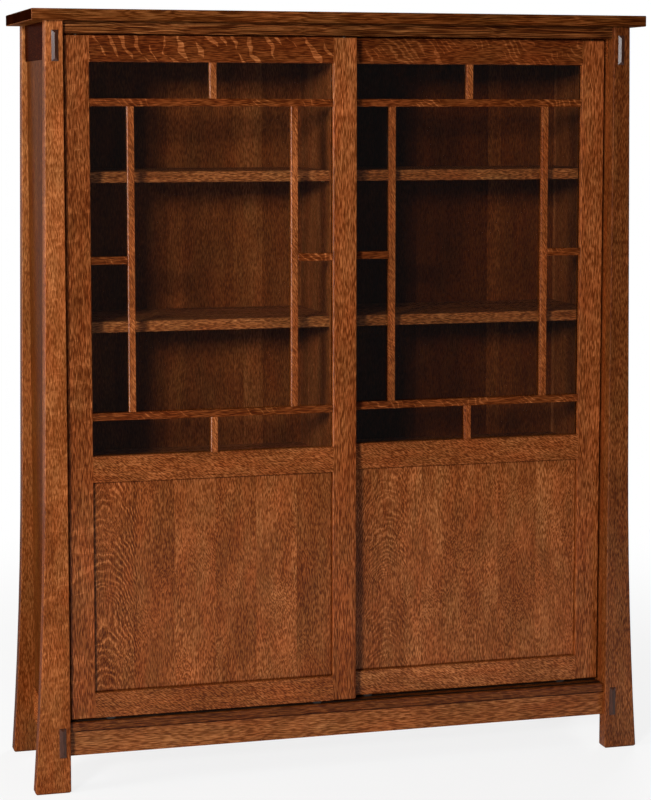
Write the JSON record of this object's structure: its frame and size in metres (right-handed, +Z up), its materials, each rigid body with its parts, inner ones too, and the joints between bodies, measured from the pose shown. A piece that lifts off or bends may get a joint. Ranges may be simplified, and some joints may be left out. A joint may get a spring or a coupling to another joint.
{
  "type": "bookcase with sliding doors",
  "caption": "Tall bookcase on flared legs with by-passing sliding doors: a border-light lattice over glass above, a flat wood panel below, and shelves inside.",
  "frame": {"origin": "On the floor, under the middle of the bounding box, which the top slab sets front to back and the flared feet set side to side.", "axes": "+Z up, +X to the right seen from the front, the doors face -Y."},
  "size_m": [1.5204, 0.427, 1.829],
  "materials": {
    "oak": "satin",
    "panel_oak": "satin",
    "dark_wood": "gloss",
    "glass": "clear",
    "steel": "satin",
    "brass": "satin",
    "nylon": "matte"
  },
  "bodies": {
    "case": {"back_panel": "panel_oak", "case_bottom": "oak", "centre_partition": "oak", "door_tracks": "steel", "front_apron": "oak", "front_left_leg": "oak", "front_right_leg": "oak", "header_rail": "oak", "left_fixed_shelf": "oak", "left_lower_shelf": "oak", "left_lower_side_rail": "oak", "left_middle_shelf": "oak", "left_side_panel": "panel_oak", "left_upper_shelf": "oak", "left_upper_side_rail": "oak", "middle_guide_strip": "oak", "rear_apron": "oak", "rear_guide_strip": "oak", "rear_left_leg": "oak", "rear_right_leg": "oak", "right_fixed_shelf": "oak", "right_lower_shelf": "oak", "right_lower_side_rail": "oak", "right_middle_shelf": "oak", "right_side_panel": "panel_oak", "right_upper_shelf": "oak", "right_upper_side_rail": "oak", "shelf_pins": "brass", "sill": "oak", "tenon_plugs": "dark_wood", "top_panel": "oak"},
    "left_door": {"left_door_axles": "steel", "left_door_bottom_rail": "oak", "left_door_cross_muntins": "oak", "left_door_glass": "glass", "left_door_glass_beads": "oak", "left_door_guide_pins": "steel", "left_door_left_stile": "oak", "left_door_mid_rail": "oak", "left_door_right_stile": "oak", "left_door_top_rail": "oak", "left_door_upright_muntins": "oak", "left_door_wood_panel": "panel_oak"},
    "right_door": {"right_door_axles": "steel", "right_door_bottom_rail": "oak", "right_door_cross_muntins": "oak", "right_door_glass": "glass", "right_door_glass_beads": "oak", "right_door_guide_pins": "steel", "right_door_left_stile": "oak", "right_door_mid_rail": "oak", "right_door_right_stile": "oak", "right_door_top_rail": "oak", "right_door_upright_muntins": "oak", "right_door_wood_panel": "panel_oak"},
    "left_door_left_roller": {"left_door_left_roller": "nylon"},
    "left_door_right_roller": {"left_door_right_roller": "nylon"},
    "right_door_left_roller": {"right_door_left_roller": "nylon"},
    "right_door_right_roller": {"right_door_right_roller": "nylon"}
  },
  "joints": [
    {"name": "left_door_slide", "type": "slide", "parent": "case", "child": "left_door", "axis": [1, 0, 0], "range_m": [0, 0.645]},
    {"name": "right_door_slide", "type": "slide", "parent": "case", "child": "right_door", "axis": [1, 0, 0], "range_m": [-0.645, 0]},
    {"name": "left_door_left_roller_spin", "type": "hinge", "parent": "left_door", "child": "left_door_left_roller", "pos_m": [-0.576, -0.164, 0.1767], "axis": [0, 1, 0], "continuous": true},
    {"name": "left_door_right_roller_spin", "type": "hinge", "parent": "left_door", "child": "left_door_right_roller", "pos_m": [-0.069, -0.164, 0.1767], "axis": [0, 1, 0], "continuous": true},
    {"name": "right_door_left_roller_spin", "type": "hinge", "parent": "right_door", "child": "right_door_left_roller", "pos_m": [0.069, -0.1328, 0.1767], "axis": [0, 1, 0], "continuous": true},
    {"name": "right_door_right_roller_spin", "type": "hinge", "parent": "right_door", "child": "right_door_right_roller", "pos_m": [0.576, -0.1328, 0.1767], "axis": [0, 1, 0], "continuous": true}
  ],
  "couplings": [
    {"joint": "left_door_left_roller_spin", "follows": "left_door_slide", "rad_per_m": 71.429},
    {"joint": "left_door_right_roller_spin", "follows": "left_door_slide", "rad_per_m": 71.429},
    {"joint": "right_door_left_roller_spin", "follows": "right_door_slide", "rad_per_m": 71.429},
    {"joint": "right_door_right_roller_spin", "follows": "right_door_slide", "rad_per_m": 71.429}
  ]
}
